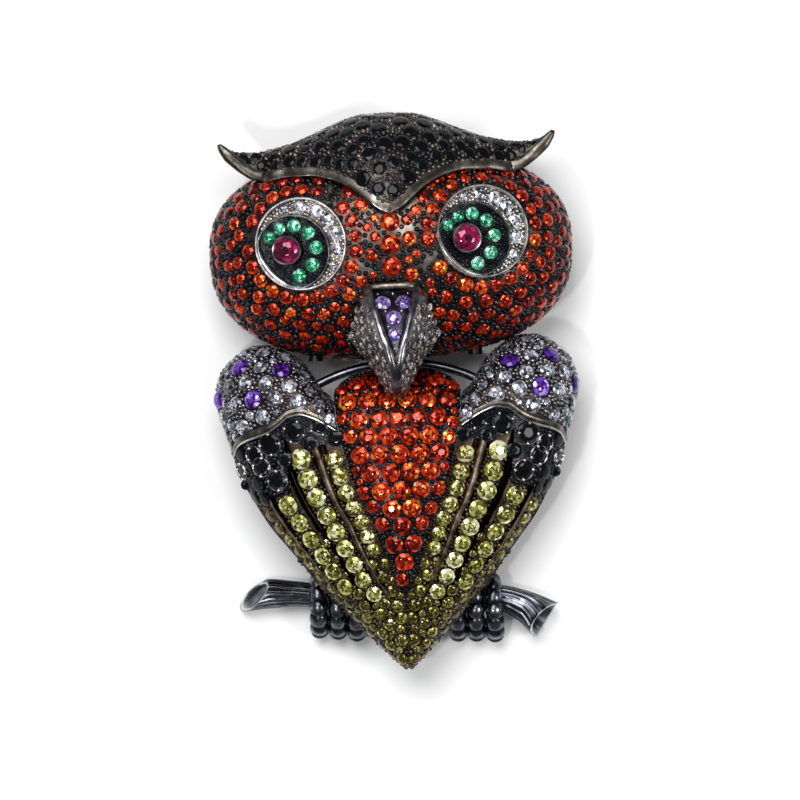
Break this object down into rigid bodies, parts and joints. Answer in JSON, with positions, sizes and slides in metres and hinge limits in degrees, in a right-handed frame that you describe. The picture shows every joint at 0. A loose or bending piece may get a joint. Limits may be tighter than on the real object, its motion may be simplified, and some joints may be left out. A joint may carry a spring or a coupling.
{
  "type": "owl brooch",
  "caption": "Owl brooch in blackened silver, pavé-set with orange, yellow, white, violet and green stones, perched on a branch, with a pin in its open back.",
  "frame": {"origin": "middle of the owl's outline in X and Y, on the table that its back rests on", "axes": "+Y up to the crest, +Z out of the face, +X to the right as one looks at the face"},
  "size_m": [0.033, 0.0498, 0.016],
  "materials": {
    "blackened_silver": "black rhodium over silver, worn on the edges",
    "worn_silver": "oxidised silver, polished on the edges",
    "orange_stone": "faceted, orange-red",
    "yellow_stone": "faceted, yellow-green",
    "white_stone": "faceted, colourless",
    "violet_stone": "faceted, violet",
    "lilac_stone": "faceted, lilac",
    "green_stone": "faceted, green",
    "red_stone": "faceted, pink-red"
  },
  "bodies": {
    "root": {"head": "blackened_silver", "crest": "blackened_silver", "beak": "worn_silver", "eye_left": "worn_silver", "eye_right": "worn_silver", "breast": "blackened_silver", "shoulder_left": "blackened_silver", "shoulder_right": "blackened_silver", "collar_left": "blackened_silver", "collar_right": "blackened_silver", "wing_left": "blackened_silver", "wing_right": "blackened_silver", "branch": "worn_silver", "foot_left": "worn_silver", "foot_right": "worn_silver", "neck": "worn_silver", "pin_clasp": "worn_silver", "pupil_left": "red_stone", "pupil_right": "red_stone", "iris_stones_left": "green_stone", "iris_stones_right": "green_stone", "crescent_stones_left": "white_stone", "crescent_stones_right": "white_stone", "beak_stones": "lilac_stone", "forehead_stones": "orange_stone", "breast_stones": "orange_stone", "feather_stones_left": "yellow_stone", "feather_stones_right": "yellow_stone", "shoulder_stones_left": "white_stone", "shoulder_stones_right": "white_stone", "violet_stones_left": "violet_stone", "violet_stones_right": "violet_stone"}
  },
  "joints": []
}
